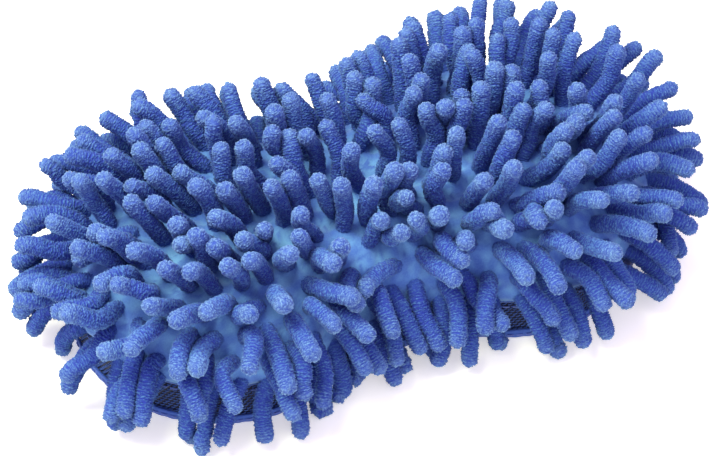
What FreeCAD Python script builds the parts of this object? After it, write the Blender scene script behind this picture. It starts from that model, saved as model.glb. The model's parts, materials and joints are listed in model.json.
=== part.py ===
"""Wash mitt for car bodywork: a peanut-shaped foam pad under a domed cloth of chenille noodles, over a hand pocket.

The mitt lies on its mesh back with the noodles upwards. From the resting face up it is: a mesh back panel with a
knitted lining, a mesh gusset that stands round the edge, the open pocket for the hand, a palm lining, the foam pad,
and the noodle cloth, which wraps over the pad and is sewn to the palm lining and the gusset all round. The gusset
is left out at the +X end, where the pocket's mouth has a bound edge and a band of elastic webbing behind it.

Frame: millimetres, +X along the mitt towards the pocket's mouth, +Y across it, +Z up from the resting face. The
origin is in the middle of the resting face. Flat layers lie face to face, and layers that follow each other round
the edge keep a small gap. Every outline is cut into the same facets, so that the layers stay parallel.
"""

import FreeCAD, Part
import math
import os

from FreeCAD import Vector

# Plan of the body: two round lobes joined by a hollow arc each side of the waist
lobe_radius = 58.5
lobe_offset = 60.0
waist_radius = 76.0

# Facets of the round outlines and of the dome's rounded edge
lobe_facets = 20
waist_facets = 10
dome_facets = 5

# Layers, in order from the resting face up
mesh_thickness = 1.6
lining_thickness = 0.8
pocket_height = 17.0
palm_thickness = 1.2
foam_thickness = 25.2
cloth_thickness = 1.5
layer_gap = 0.2

# The noodle cloth's rounding from its wall to its flat crown
crown_radius = 25.5

# Binding tape round the bottom edge of the gusset
tape_thickness = 1.0
tape_height = 4.0

# Pocket mouth: a bound edge with a band of elastic webbing behind it
mouth_half_width = 46.0
binding_depth = 5.0
binding_wall = 2.2
elastic_depth = 10.0
elastic_wall = 1.6

# Thread: a line of stitching stands this far out of the cloth and is this wide; a bar tack is broader
thread_thickness = 0.6
thread_width = 1.2
tack_height = 9.0
tack_length = 7.0

# Noodles: chenille fingers that bend part of the way along and are drawn in at their free end, sewn to the cloth by
# their root, in rings round the body and in rows along the crown that keep a margin from its edge
noodle_radius = 3.8
noodle_length = 34.0
noodle_spacing = 9.9
noodle_facets = 5
crown_rows = 5
crown_margin = 9.4
tip_length = 3.0
bend_share = 0.5
root_gap = 0.25

# How the noodles hang: they fan out from a point inside the pad, less along the mitt than across it, and those on
# the long sides sag under their own weight; the more level a noodle lies, the more it bends down at its middle.
# Those on the crown lean away from the mouth, and those rooted below hang_height hang past the edge
fan_share = 0.5
fan_height = 32.0
fan_length = 1.9
fan_width = 1.5
side_sag = 0.42
droop = 0.3
crown_lean = 0.18
hang_height = 40.0
hem_hang = 0.75

# Heights and outsets that follow from the layers
lining_top = mesh_thickness + lining_thickness
palm_bottom = lining_top + pocket_height
palm_top = palm_bottom + palm_thickness
foam_top = palm_top + foam_thickness
cloth_top = foam_top + layer_gap + cloth_thickness
tape_outset = layer_gap + tape_thickness
thread_outset = layer_gap + thread_thickness

# The waist arcs' centres lie on the Y axis, this far from the middle, and the arcs meet the lobes at join_angle
waist_offset = math.sqrt((lobe_radius + waist_radius) ** 2 - lobe_offset**2)
join_angle = math.atan2(waist_offset, -lobe_offset)


def arcs(inset):
    """The four arcs of the outline moved inwards by inset: centre, radius, first and last angle, facets."""
    lobe = lobe_radius - inset
    waist = waist_radius + inset
    turn = math.pi - join_angle
    return [
        (Vector(lobe_offset, 0, 0), lobe, -join_angle, join_angle, lobe_facets),
        (Vector(0, waist_offset, 0), waist, -turn, turn - math.pi, waist_facets),
        (Vector(-lobe_offset, 0, 0), lobe, turn, math.pi + join_angle, lobe_facets),
        (Vector(0, -waist_offset, 0), waist, join_angle, turn, waist_facets),
    ]


def outline(inset, z):
    """The corners of the faceted outline moved inwards by inset, at height z."""
    points = []
    for centre, radius, first, last, facets in arcs(inset):
        for i in range(facets):
            angle = first + (last - first) * i / facets
            points.append(centre + Vector(radius * math.cos(angle), radius * math.sin(angle), z))
    return points


def flat_faced(rings, peak=None):
    """A closed solid of flat facets through rings of points. Its ends are flat, or the last rises to a peak."""
    if peak:
        last = rings[-1]
        polygons = [rings[0]] + [[last[i - 1], last[i], peak] for i in range(len(last))]
    else:
        polygons = [rings[0], rings[-1]]
    for low, high in zip(rings, rings[1:]):
        for i in range(len(low)):
            j = (i + 1) % len(low)
            polygons.append([low[i], low[j], high[j], high[i]])
    faces = [Part.Face(Part.makePolygon(points + points[:1])) for points in polygons]
    return Part.makeSolid(Part.makeShell(faces))


def slab(inset, bottom, top):
    """A flat layer with the body's outline."""
    return flat_faced([outline(inset, bottom), outline(inset, top)])


def band(outer_inset, inner_inset, bottom, top):
    """An upright strip that follows the body's outline all round."""
    return slab(outer_inset, bottom, top).cut(slab(inner_inset, bottom, top))


def dome(inset, bottom, top):
    """A slab whose top edge is rounded, parallel to the noodle cloth's outer face."""
    radius = crown_radius - inset
    rings = [outline(inset, bottom)]
    for i in range(dome_facets + 1):
        rise = math.pi / 2 * i / dome_facets
        rings.append(outline(inset + radius * (1 - math.cos(rise)), top - radius * (1 - math.sin(rise))))
    return flat_faced(rings)


def mouth_zone(half_width, bottom, top):
    """A block over the +X end of the body, as wide as the pocket's mouth."""
    reach = 2 * lobe_radius
    return Part.makeBox(reach, 2 * half_width, top - bottom, Vector(lobe_offset, -half_width, bottom))


def mouth_ring(front, depth, wall):
    """A flat sleeve round the inside of the pocket's mouth, from front to front + depth behind its edge."""
    outer = slab(0, lining_top, palm_bottom)
    inner = outer.copy()
    outer.translate(Vector(-front, 0, 0))
    inner.translate(Vector(-front - depth, 0, 0))
    sleeve = outer.cut(inner).common(mouth_zone(mouth_half_width, lining_top, palm_bottom))
    return sleeve.cut(mouth_zone(mouth_half_width - wall, lining_top + wall, palm_bottom - wall))


def open_at_mouth(strip):
    """The strip without the stretch that crosses the pocket's mouth."""
    return strip.cut(mouth_zone(mouth_half_width + layer_gap, 0, cloth_top))


def pocket_parts():
    """The mesh back and gusset, their linings, the bottom tape and the parts of the mouth."""
    inset = mesh_thickness + layer_gap
    return {
        "mesh_back": slab(0, 0, mesh_thickness),
        "back_lining": slab(inset, mesh_thickness, lining_top),
        "mesh_gusset": open_at_mouth(band(0, mesh_thickness, mesh_thickness, palm_bottom)),
        "gusset_lining": open_at_mouth(band(inset, inset + lining_thickness, lining_top, palm_bottom)),
        "edge_tape": open_at_mouth(band(-tape_outset, -layer_gap, 0, tape_height)),
        "mouth_binding": mouth_ring(0, binding_depth, binding_wall),
        "mouth_elastic": mouth_ring(binding_depth + layer_gap, elastic_depth, elastic_wall),
    }


def thread_line(carrier_outset, bottom, height):
    """A strip of thread that lies round the outside of the gusset or of what covers it."""
    return band(-carrier_outset - thread_outset, -carrier_outset - layer_gap, bottom, bottom + height)


def thread_parts():
    """The lines of stitching that show on the outside, and the bar tacks at the corners of the mouth."""
    tack_bottom = (lining_top + palm_bottom - tack_height) / 2
    tacks = thread_line(0, tack_bottom, tack_height)
    tacks = tacks.common(mouth_zone(mouth_half_width + tack_length / 2, 0, cloth_top))
    return {
        "gusset_thread": open_at_mouth(thread_line(0, palm_bottom - 2 * thread_width, thread_width)),
        "tape_thread": open_at_mouth(thread_line(tape_outset, (tape_height - thread_width) / 2, thread_width)),
        "mouth_bartacks": tacks.cut(mouth_zone(mouth_half_width - tack_length / 2, 0, cloth_top)),
    }


def pad_parts():
    """The palm lining, the foam pad and the noodle cloth over it."""
    hollow = dome(cloth_thickness, palm_top, foam_top + layer_gap)
    return {
        "palm_lining": slab(0, palm_bottom, palm_top),
        "foam_core": dome(cloth_thickness + layer_gap, palm_top, foam_top),
        "noodle_cloth": dome(0, palm_top, cloth_top).cut(hollow),
    }


def outline_length(inset):
    """The length of the smooth outline moved inwards by inset."""
    return sum(radius * abs(last - first) for _, radius, first, last, _ in arcs(inset))


def outline_place(inset, distance):
    """The point and outward normal on the smooth outline moved inwards by inset, at a distance along it."""
    for centre, radius, first, last, _ in arcs(inset):
        length = radius * abs(last - first)
        if distance <= length:
            break
        distance -= length
    angle = first + (last - first) * distance / length
    spoke = Vector(math.cos(angle), math.sin(angle), 0)
    outwards = spoke if last > first else -spoke
    return centre + spoke * radius, outwards


def unit(x, y, z):
    """The unit vector along (x, y, z)."""
    return Vector(x, y, z).normalize()


def hang(root, normal):
    """The direction from a noodle's root to its tip: out of the cloth, fanned, and sagging at the sides."""
    fan = unit(root.x / fan_length**2, root.y / fan_width**2, root.z - fan_height)
    sag = side_sag * (1 - normal.z) * (1 - normal.x**2)
    blend = normal * (1 - fan_share) + fan * fan_share - Vector(crown_lean * normal.z**2, 0, sag)
    return blend.normalize()


def noodle(root, normal):
    """One noodle: its root is cut parallel to the cloth, and it rises to its bend and falls to its drawn-in end."""
    along = hang(root, normal)
    bow = Vector(0, 0, droop * math.hypot(along.x, along.y))
    low = max(0, (hang_height - root.z) / (hang_height - palm_top))
    weight = Vector(0, 0, hem_hang * low)
    rising = (along + bow - weight * bend_share).normalize()
    falling = (along - bow - weight).normalize()
    seat = root + normal * root_gap
    bend = seat + rising * noodle_length * bend_share
    tip = bend + falling * noodle_length * (1 - bend_share)
    side = along.cross(Vector(0, 0, 1) if abs(along.z) < 0.9 else Vector(1, 0, 0)).normalize()
    other = along.cross(side)
    spokes = []
    for i in range(noodle_facets):
        angle = 2 * math.pi * i / noodle_facets
        spokes.append((side * math.cos(angle) + other * math.sin(angle)) * noodle_radius)
    foot = [seat + spoke - rising * (spoke.dot(normal) / rising.dot(normal)) for spoke in spokes]
    middle = [bend + spoke for spoke in spokes]
    neck = [tip - falling * tip_length + spoke for spoke in spokes]
    return flat_faced([foot, middle, neck], tip)


def noodle_ring(slope, stagger):
    """Noodles evenly spaced round the body, where the cloth's normal rises by slope of a right angle."""
    rise = slope * math.pi / 2
    inset = crown_radius * (1 - math.cos(rise))
    height = cloth_top - crown_radius * (1 - math.sin(rise))
    length = outline_length(inset)
    count = 2 * int(length / (2 * noodle_spacing))
    start = (lobe_radius - inset) * join_angle + stagger * length / count
    solids = []
    for i in range(count):
        point, outwards = outline_place(inset, (start + i * length / count) % length)
        root = Vector(point.x, point.y, height)
        normal = outwards * math.cos(rise) + Vector(0, 0, math.sin(rise))
        solids.append(noodle(root, normal))
    return solids


def on_crown(x, y):
    """Whether a point lies on the flat crown, at least crown_margin from its edge."""
    lobe = lobe_radius - crown_radius - crown_margin
    waist = waist_radius + crown_radius + crown_margin
    join_x = lobe_offset + lobe * math.cos(join_angle)
    if abs(x) > join_x:
        return math.hypot(abs(x) - lobe_offset, y) < lobe
    return math.hypot(x, waist_offset - abs(y)) > waist


def crown_row(number, row_spacing):
    """One lengthwise row of noodles on the flat crown, counted from the middle; odd rows are staggered."""
    y = number * row_spacing
    stagger = 0.5 * (number % 2)
    reach = int((lobe_offset + lobe_radius) / noodle_spacing)
    places = [(i + stagger) * noodle_spacing for i in range(-reach - 1, reach + 1)]
    return [noodle(Vector(x, y, cloth_top), Vector(0, 0, 1)) for x in places if on_crown(x, y)]


def noodle_parts():
    """All the noodles: one node for each ring round the body and for each row along its crown."""
    lowest_root = palm_top + noodle_radius + layer_gap
    lowest_slope = math.asin(1 - (cloth_top - lowest_root) / crown_radius) / (math.pi / 2)
    names = ("hem", "side", "flank", "shoulder", "rim")
    parts = {}
    for i, name in enumerate(names):
        slope = lowest_slope + (1 - lowest_slope) * i / (len(names) - 1)
        parts["noodles_" + name] = noodle_ring(slope, 0.5 * (i % 2))
    last_row = crown_rows // 2
    row_spacing = (lobe_radius - crown_radius - crown_margin) / (last_row + 0.3)
    for i in range(crown_rows):
        parts["noodles_crown_row_%d" % (i + 1)] = crown_row(i - last_row, row_spacing)
    return parts


def main():
    os.makedirs("parts", exist_ok=True)
    parts = {**pocket_parts(), **thread_parts(), **pad_parts()}
    for name, solids in noodle_parts().items():
        parts[name] = Part.makeCompound(solids)
    for name, shape in parts.items():
        shape.exportStep(os.path.join("parts", name + ".step"))


main()
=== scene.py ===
"""Looks of the wash mitt: chenille noodles on brushed cloth over a foam pad, above a mesh-backed hand pocket.

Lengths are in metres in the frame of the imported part: +X along the mitt towards the pocket's mouth, +Z up.
"""

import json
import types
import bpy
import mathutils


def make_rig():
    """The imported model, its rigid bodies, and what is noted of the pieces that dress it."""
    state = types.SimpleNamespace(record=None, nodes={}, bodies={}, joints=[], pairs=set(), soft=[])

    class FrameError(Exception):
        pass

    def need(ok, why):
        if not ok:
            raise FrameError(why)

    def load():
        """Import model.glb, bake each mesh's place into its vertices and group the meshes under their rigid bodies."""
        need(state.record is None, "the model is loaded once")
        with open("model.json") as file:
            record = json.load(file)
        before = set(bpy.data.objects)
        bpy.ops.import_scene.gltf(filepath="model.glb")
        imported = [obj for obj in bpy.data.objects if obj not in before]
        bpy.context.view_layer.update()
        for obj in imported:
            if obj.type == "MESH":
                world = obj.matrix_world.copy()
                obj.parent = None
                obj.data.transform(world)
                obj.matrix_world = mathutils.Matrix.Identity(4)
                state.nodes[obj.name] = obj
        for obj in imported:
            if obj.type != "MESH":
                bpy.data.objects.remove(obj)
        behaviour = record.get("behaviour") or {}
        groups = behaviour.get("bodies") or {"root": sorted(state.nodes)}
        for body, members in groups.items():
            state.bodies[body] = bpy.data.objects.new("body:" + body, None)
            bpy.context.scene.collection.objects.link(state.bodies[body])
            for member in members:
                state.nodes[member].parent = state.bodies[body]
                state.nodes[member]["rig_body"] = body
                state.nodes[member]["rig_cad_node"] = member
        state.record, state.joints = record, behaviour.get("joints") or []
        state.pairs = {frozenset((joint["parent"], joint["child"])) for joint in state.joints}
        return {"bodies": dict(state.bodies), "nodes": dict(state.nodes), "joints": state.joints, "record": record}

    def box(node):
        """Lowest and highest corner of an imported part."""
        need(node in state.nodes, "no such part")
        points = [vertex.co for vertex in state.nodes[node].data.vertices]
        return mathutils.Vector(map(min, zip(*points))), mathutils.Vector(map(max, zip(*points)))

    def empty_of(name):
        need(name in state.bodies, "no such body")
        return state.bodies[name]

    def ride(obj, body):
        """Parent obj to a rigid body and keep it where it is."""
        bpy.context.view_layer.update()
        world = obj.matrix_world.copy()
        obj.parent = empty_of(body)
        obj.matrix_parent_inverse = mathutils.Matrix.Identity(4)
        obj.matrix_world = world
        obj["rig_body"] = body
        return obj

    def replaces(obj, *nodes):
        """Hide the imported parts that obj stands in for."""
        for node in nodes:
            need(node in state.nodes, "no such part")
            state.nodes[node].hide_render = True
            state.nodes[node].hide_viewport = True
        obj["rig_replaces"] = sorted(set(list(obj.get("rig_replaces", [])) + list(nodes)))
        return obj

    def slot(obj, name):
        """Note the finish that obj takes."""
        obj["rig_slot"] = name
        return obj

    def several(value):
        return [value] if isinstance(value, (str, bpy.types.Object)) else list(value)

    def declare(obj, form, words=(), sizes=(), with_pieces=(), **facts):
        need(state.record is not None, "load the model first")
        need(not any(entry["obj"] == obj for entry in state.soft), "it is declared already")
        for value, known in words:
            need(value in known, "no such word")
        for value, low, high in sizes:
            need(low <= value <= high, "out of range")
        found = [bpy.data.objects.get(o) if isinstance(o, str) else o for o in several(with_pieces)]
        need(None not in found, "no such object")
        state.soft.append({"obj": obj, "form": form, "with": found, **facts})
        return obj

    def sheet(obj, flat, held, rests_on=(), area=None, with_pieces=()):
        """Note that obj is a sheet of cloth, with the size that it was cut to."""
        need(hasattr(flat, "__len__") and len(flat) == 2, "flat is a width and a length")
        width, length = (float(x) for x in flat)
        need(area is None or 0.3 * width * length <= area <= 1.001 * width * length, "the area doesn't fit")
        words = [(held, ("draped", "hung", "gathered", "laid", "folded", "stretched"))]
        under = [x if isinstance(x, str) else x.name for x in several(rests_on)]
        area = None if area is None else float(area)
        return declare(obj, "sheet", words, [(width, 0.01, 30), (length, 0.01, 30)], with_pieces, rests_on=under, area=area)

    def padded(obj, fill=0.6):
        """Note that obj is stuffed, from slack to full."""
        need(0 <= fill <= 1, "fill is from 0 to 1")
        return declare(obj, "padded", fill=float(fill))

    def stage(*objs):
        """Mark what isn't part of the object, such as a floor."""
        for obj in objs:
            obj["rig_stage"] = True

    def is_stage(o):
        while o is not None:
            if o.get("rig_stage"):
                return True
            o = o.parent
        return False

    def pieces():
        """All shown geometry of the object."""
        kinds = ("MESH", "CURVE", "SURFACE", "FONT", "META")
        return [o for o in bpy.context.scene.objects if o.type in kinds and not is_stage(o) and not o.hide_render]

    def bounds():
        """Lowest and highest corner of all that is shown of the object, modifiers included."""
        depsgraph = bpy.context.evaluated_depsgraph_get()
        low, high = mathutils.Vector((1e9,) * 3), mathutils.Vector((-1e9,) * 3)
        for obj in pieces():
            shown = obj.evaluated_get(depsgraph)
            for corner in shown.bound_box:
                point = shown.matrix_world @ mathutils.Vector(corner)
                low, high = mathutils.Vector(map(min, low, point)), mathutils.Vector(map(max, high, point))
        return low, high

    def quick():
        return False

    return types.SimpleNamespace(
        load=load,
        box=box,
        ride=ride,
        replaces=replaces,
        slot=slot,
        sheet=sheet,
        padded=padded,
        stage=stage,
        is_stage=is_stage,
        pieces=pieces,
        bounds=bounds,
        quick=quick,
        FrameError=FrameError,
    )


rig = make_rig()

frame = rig.load()

import json
import math

import bmesh
import bpy
import numpy as np
from mathutils import Vector
from mathutils.kdtree import KDTree

cad_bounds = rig.bounds()
MM = 0.001

# -------- sizes

# Plan of the body, as the solids have it: two lobes joined by a hollow arc each side of the waist
LOBE_OFFSET = 60.0 * MM
WAIST_RADIUS = 76.0 * MM
CROWN_RADIUS = 25.5 * MM
LOBE_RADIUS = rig.box("mesh_back")[1].x - LOBE_OFFSET
WAIST_OFFSET = math.sqrt((LOBE_RADIUS + WAIST_RADIUS) ** 2 - LOBE_OFFSET**2)
JOIN_ANGLE = math.atan2(WAIST_OFFSET, -LOBE_OFFSET)

# Heights of the layers
MESH_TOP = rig.box("mesh_back")[1].z
LINING_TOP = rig.box("back_lining")[1].z
PALM_BOTTOM, PALM_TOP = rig.box("palm_lining")[0].z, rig.box("palm_lining")[1].z
FOAM_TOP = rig.box("foam_core")[1].z
CLOTH_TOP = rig.box("noodle_cloth")[1].z
TAPE_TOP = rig.box("edge_tape")[1].z
FOAM_INSET = 1.7 * MM
FOAM_SLACK = 0.6 * MM
MOUTH_HALF_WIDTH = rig.box("mouth_binding")[1].y
LAYER_GAP = 0.2 * MM
MIDDLE_SEAM = 0.02 * MM
SAME_PLACE = 0.001 * MM

# Noodles: a core covered with pile; settling treats each as a string of points
NOODLE_RADIUS = 3.95 * MM
CORE_RADIUS = 3.25 * MM
NOODLE_POINTS = 10
NOODLE_SEED = 20
MOST_IN_A_PIECE = 36
SOLID_NOODLE_SIDES = 5
NECK_FATNESS = 0.8
NECK_RISE = 4.5
THINNEST_CORE = 0.25 * MM
LUMPS_IN_A_METRE = 260.0
LUMP_HEIGHT = 0.9 * MM

# Pile: each tuft is a low ridge across the noodle, and the strands are wound round it
PILE_DEPTH = 0.62 * MM
TUFT_HALF_LENGTH = 0.78 * MM
TUFT_HALF_WIDTH = 0.30 * MM
TUFTS_PER_SQUARE_METRE = 1.35e6
TUFT_SIZES = (0.65, 1.25)
TUFT_TILT = (0.3, 0.3, 0.35)
COIL_PITCH = 1.15 * MM

# How noodles stray from the solids' shapes; turns and pushes are shares of a noodle's own direction
ROOT_SINK = 0.8 * MM
ROOT_SCATTER = 0.9 * MM
LENGTH_SPREAD = (0.93, 1.03)
FATNESS_SPREAD = (0.92, 1.08)
COMMON_TURN = 0.12
WILD_TURN = 0.34
WILD_SHARE = 0.18
BOW_SPREAD = (0.4, 1.5)
CURL = 0.30
WAVE = 0.28
BEND_GAIN = 1.3

# The lowest noodles hang, and stray more
HANG_TOP = 40.0 * MM
HANG_SPREAD = (0.0, 0.8)
HEM_SHORTENING = 0.15
HEM_STRAY = 1.3
HEM_CURL = 0.7

# The others sag, most at the back and at the mouth's end; the crown of the far lobe is combed inwards
SAG_SPREAD = (-0.1, 0.7)
BACK_SAG = 0.3
END_SAG = 0.3
BACK_SHORTENING = 0.05
BACK_GAIN = 1.5
COMB = (0.16, -0.06, 0.0)
COMB_BLEND = 40.0 * MM
COMB_GAIN = 1.4

# Settling
SETTLING_ROUNDS = 90
QUICK_ROUNDS = 20
CROWDING = 0.94
CLOTH_CLEARANCE = 0.96
ROOT_EASE = 0.75
GROUND_CLEARANCE = 1.08
PULL_BACK = 0.06
PUSH_SHARE = 0.9
LENGTH_ROUNDS = 4

# Noodle cloth: its mesh and its relief
CLOTH_COLUMNS = 440
CLOTH_SKIN = 1.2 * MM
CONE_RADIUS = 5.2 * MM
CONE_HEIGHT = 3.2 * MM
FOLD_WIDTH = 1.1 * MM
FOLD_HEIGHT = 0.9 * MM
DRIFT_HEIGHT = 0.25 * MM
DRIFT_WAVES = (95, 120, 60)
HEM_BLEND = 3.0 * MM

# Linings
PALM_LINING_INSET = 0.1 * MM
BACK_LINING_INSET = 1.9 * MM
GUSSET_LINING_INSET = 1.8 * MM
GUSSET_LINING_THICKNESS = 0.7 * MM
GUSSET_LINING_PUCKER = 0.08 * MM
LINING_COLUMNS = 240
LINING_RIM = 0.15 * MM
LINING_STEPS = 16
RIPPLE_WAVES = (160, 190)

# Ribs of knit and tape, in radians a metre
KNIT_RIBS = 4200.0
TAPE_RIBS = 5200.0

# Mesh wall and sole: yarn over a dark ground, with linings inside
YARN_SIDES = 4
GUSSET_INSET = 0.55 * MM
GUSSET_THICKNESS = 0.9 * MM
SOLE_INSET = 0.4 * MM
FLOATS_IN_A_ROW = 230
FLOAT_RISE = 0.25 * MM
FLOAT_SEED = 7
GUSSET_ROWS = 12
GUSSET_YARN = 0.30 * MM
SOLE_YARN = 0.27 * MM
SOLE_ROW_PITCH = 2.3 * MM
SOLE_ZIGZAG = 0.44 * SOLE_ROW_PITCH
SOLE_STEP = 1.6 * MM
SOLE_YARN_HEIGHT = 0.30 * MM
SOLE_BOTTOM = 0.55 * MM
SOLE_MARGIN = 0.7 * MM

# Edge tape
TAPE_THICKNESS = 0.9 * MM
TAPE_PROUD = 0.95 * MM
TAPE_BULGE = 0.25 * MM
TAPE_PUCKER = 0.12 * MM

# Stitches and bar tacks
GUSSET_THREAD_PROUD = 0.45 * MM
TAPE_THREAD_PROUD = 1.55 * MM
STITCH_YARN = 0.34 * MM
STITCH_RISE = 0.12 * MM
TACK_YARN = 0.3 * MM
TACK_TURNS = 14
TACK_HALF_WIDTH = 2.6 * MM
TACK_PROUD = 0.5 * MM

# Mouth
BINDING_DEPTH = 5.0 * MM
BINDING_WALL = 2.2 * MM
ELASTIC_DEPTH = 10.0 * MM
ELASTIC_WALL = 1.6 * MM
MOUTH_PLEATS = 46
MOUTH_CORNER = 4.0 * MM
SLEEVE_SLACK = 0.05 * MM

# -------- the body's plan and dome


def arcs(inset):
    """The outline's four arcs moved inwards by inset: centre x and y, radius, first and last angle."""
    lobe, waist, turn = LOBE_RADIUS - inset, WAIST_RADIUS + inset, math.pi - JOIN_ANGLE
    return [
        (LOBE_OFFSET, 0.0, lobe, -JOIN_ANGLE, JOIN_ANGLE),
        (0.0, WAIST_OFFSET, waist, -turn, turn - math.pi),
        (-LOBE_OFFSET, 0.0, lobe, turn, math.pi + JOIN_ANGLE),
        (0.0, -WAIST_OFFSET, waist, JOIN_ANGLE, turn),
    ]


def outline(inset, count, mouth_gap=False):
    """Points and outward normals evenly spaced round the outline, or round it outside the pocket's mouth."""
    pieces = arcs(inset)
    lengths = [r * abs(b - a) for _, _, r, a, b in pieces]
    total = sum(lengths)
    start = pieces[0][2] * JOIN_ANGLE
    stop = start + total
    if mouth_gap:
        half_turn = math.asin((MOUTH_HALF_WIDTH + LAYER_GAP) / pieces[0][2])
        start = pieces[0][2] * (JOIN_ANGLE + half_turn)
        stop = total + pieces[0][2] * (JOIN_ANGLE - half_turn)
    spots = np.linspace(start, stop, count, endpoint=mouth_gap) % total
    points, normals = np.zeros((count, 2)), np.zeros((count, 2))
    edge = 0.0
    for (cx, cy, radius, a, b), length in zip(pieces, lengths):
        here = (spots >= edge) & (spots <= edge + length)
        angle = a + (b - a) * (spots[here] - edge) / length
        spoke = np.stack([np.cos(angle), np.sin(angle)], 1)
        points[here] = np.array([cx, cy]) + radius * spoke
        normals[here] = spoke if b > a else -spoke
        edge += length
    return points, normals


def plan_distance(x, y):
    """Signed distance in plan from the outline, negative inside."""
    x, y = np.abs(x), np.abs(y)
    beside_lobe = WAIST_OFFSET * x + LOBE_OFFSET * y > WAIST_OFFSET * LOBE_OFFSET
    at_waist = (WAIST_OFFSET - y) * LOBE_OFFSET > WAIST_OFFSET * x
    lobe = np.hypot(x - LOBE_OFFSET, y) - LOBE_RADIUS
    waist = WAIST_RADIUS - np.hypot(x, y - WAIST_OFFSET)
    by_waist = at_waist & (waist > -0.9 * LOBE_RADIUS) & ~(beside_lobe & (lobe < 0))
    return np.where(by_waist, waist, lobe)


def dome_distance(points):
    """Signed distance from the noodle cloth's outer face, for an array of points."""
    out = plan_distance(points[:, 0], points[:, 1]) + CROWN_RADIUS
    up = points[:, 2] - (CLOTH_TOP - CROWN_RADIUS)
    corner = np.hypot(np.maximum(out, 0), np.maximum(up, 0))
    return np.minimum(np.maximum(out, up), 0) + corner - CROWN_RADIUS


def dome_normal(points):
    """Outward unit normal of the dome's distance field."""
    step = 0.05 * MM
    grad = np.zeros_like(points)
    for axis in range(3):
        shift = np.zeros(3)
        shift[axis] = step
        grad[:, axis] = dome_distance(points + shift) - dome_distance(points - shift)
    return grad / np.maximum(np.linalg.norm(grad, axis=1, keepdims=True), 1e-12)


def plan_cut(inset, drop=0.0):
    """Width, length and area of a flat cut with the outline's shape, let out all round by drop."""
    points, _ = outline(inset, 400)
    after = np.roll(points, -1, 0)
    area = abs((points[:, 0] * after[:, 1] - points[:, 1] * after[:, 0]).sum()) / 2
    around = np.linalg.norm(after - points, axis=1).sum()
    width, length = 2 * (LOBE_RADIUS - inset + drop), 2 * (LOBE_OFFSET + LOBE_RADIUS - inset + drop)
    return {"flat": (width, length), "area": area + around * drop}


def strip_length(inset):
    """Length of a strip round the outline, outside the mouth."""
    points, _ = outline(inset, 400, mouth_gap=True)
    return float(np.linalg.norm(np.diff(points, axis=0), axis=1).sum())


# -------- meshes


def new_piece(name, verts, edges, faces):
    """An object at the origin."""
    mesh = bpy.data.meshes.new(name)
    mesh.from_pydata([tuple(v) for v in verts], edges, faces)
    piece = bpy.data.objects.new(name, mesh)
    bpy.context.scene.collection.objects.link(piece)
    return piece


def mesh_object(name, verts, faces):
    """A smooth surface."""
    piece = new_piece(name, verts, [], faces)
    piece.data.shade_smooth()
    return piece


def lines_object(name, lines):
    """Open lines of points as one mesh of edges."""
    verts, edges = [], []
    for line in lines:
        start = len(verts)
        verts.extend(line)
        edges.extend((start + i, start + i + 1) for i in range(len(line) - 1))
    return new_piece(name, verts, edges, [])


def grid_faces(rows, columns, loops=True, closed=False):
    """Quads between neighbouring rows. Rows may be loops, and closed joins the last row to the first."""
    faces = []
    for r in range(rows if closed else rows - 1):
        here, above = r * columns, (r + 1) % rows * columns
        for c in range(columns if loops else columns - 1):
            d = (c + 1) % columns
            faces.append((here + c, here + d, above + d, above + c))
    return faces


def merge_doubles(piece, distance):
    """Joins vertices that lie together and makes the normals point outwards."""
    bm = bmesh.new()
    bm.from_mesh(piece.data)
    bmesh.ops.remove_doubles(bm, verts=bm.verts, dist=distance)
    bmesh.ops.recalc_face_normals(bm, faces=bm.faces)
    bm.to_mesh(piece.data)
    bm.free()


def apply_modifiers(piece):
    """The evaluated mesh takes the place of the modifiers."""
    depsgraph = bpy.context.evaluated_depsgraph_get()
    baked = bpy.data.meshes.new_from_object(piece.evaluated_get(depsgraph))
    old = piece.data
    piece.modifiers.clear()
    piece.data = baked
    baked.name = piece.name
    bpy.data.meshes.remove(old)


def set_material(piece, material):
    """The piece wears this material alone."""
    piece.data.materials.clear()
    piece.data.materials.append(material)


def point_attribute(piece, name, values):
    """A float attribute on the piece's vertices."""
    attribute = piece.data.attributes.new(name, "FLOAT", "POINT")
    attribute.data.foreach_set("value", np.asarray(values, np.float32))


# -------- colours and light

# Chenille: the deep colour is the pile in painted shade and the light colour the pile lit, mixed also by its own
# grain.
CHENILLE_DEEP = (0.028, 0.050, 0.295)
CHENILLE_MID = (0.045, 0.095, 0.330)
CHENILLE_LIGHT = (0.100, 0.245, 0.455)
# The mid and tip colours paint the free ends; the tip colour is a painted highlight.
CHENILLE_TIP_HIGHLIGHT = (0.275, 0.465, 0.610)
CHENILLE_SHEEN = (0.45, 0.65, 1.0, 1.0)
# Fleece: the deep colour is the cloth in painted shade and the light colour the cloth lit, mixed also by its own
# mottle.
FLEECE_DEEP = (0.055, 0.130, 0.420)
FLEECE_LIGHT = (0.160, 0.390, 0.600)
FLEECE_SHEEN = (0.6, 0.8, 1.0, 1.0)
TRICOT_GROUND, TRICOT_YARN = (0.035, 0.095, 0.330), (0.100, 0.210, 0.560)
BACKING_GROUND, BACKING_YARN = (0.003, 0.005, 0.014), (0.012, 0.018, 0.050)
STRAND_DARK, STRAND_LIGHT = (0.020, 0.055, 0.240), (0.060, 0.150, 0.420)
UNDER_MESH_DARK, UNDER_MESH_LIGHT = (0.004, 0.006, 0.016), (0.012, 0.018, 0.045)
TAPE_DARK, TAPE_LIGHT = (0.020, 0.060, 0.270), (0.060, 0.160, 0.520)
ELASTIC_DARK, ELASTIC_LIGHT = (0.008, 0.014, 0.060), (0.030, 0.060, 0.190)
THREAD_DARK, THREAD_LIGHT = (0.035, 0.075, 0.300), (0.110, 0.200, 0.560)
FOAM_DARK, FOAM_LIGHT = (0.330, 0.290, 0.150), (0.760, 0.700, 0.480)
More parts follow.
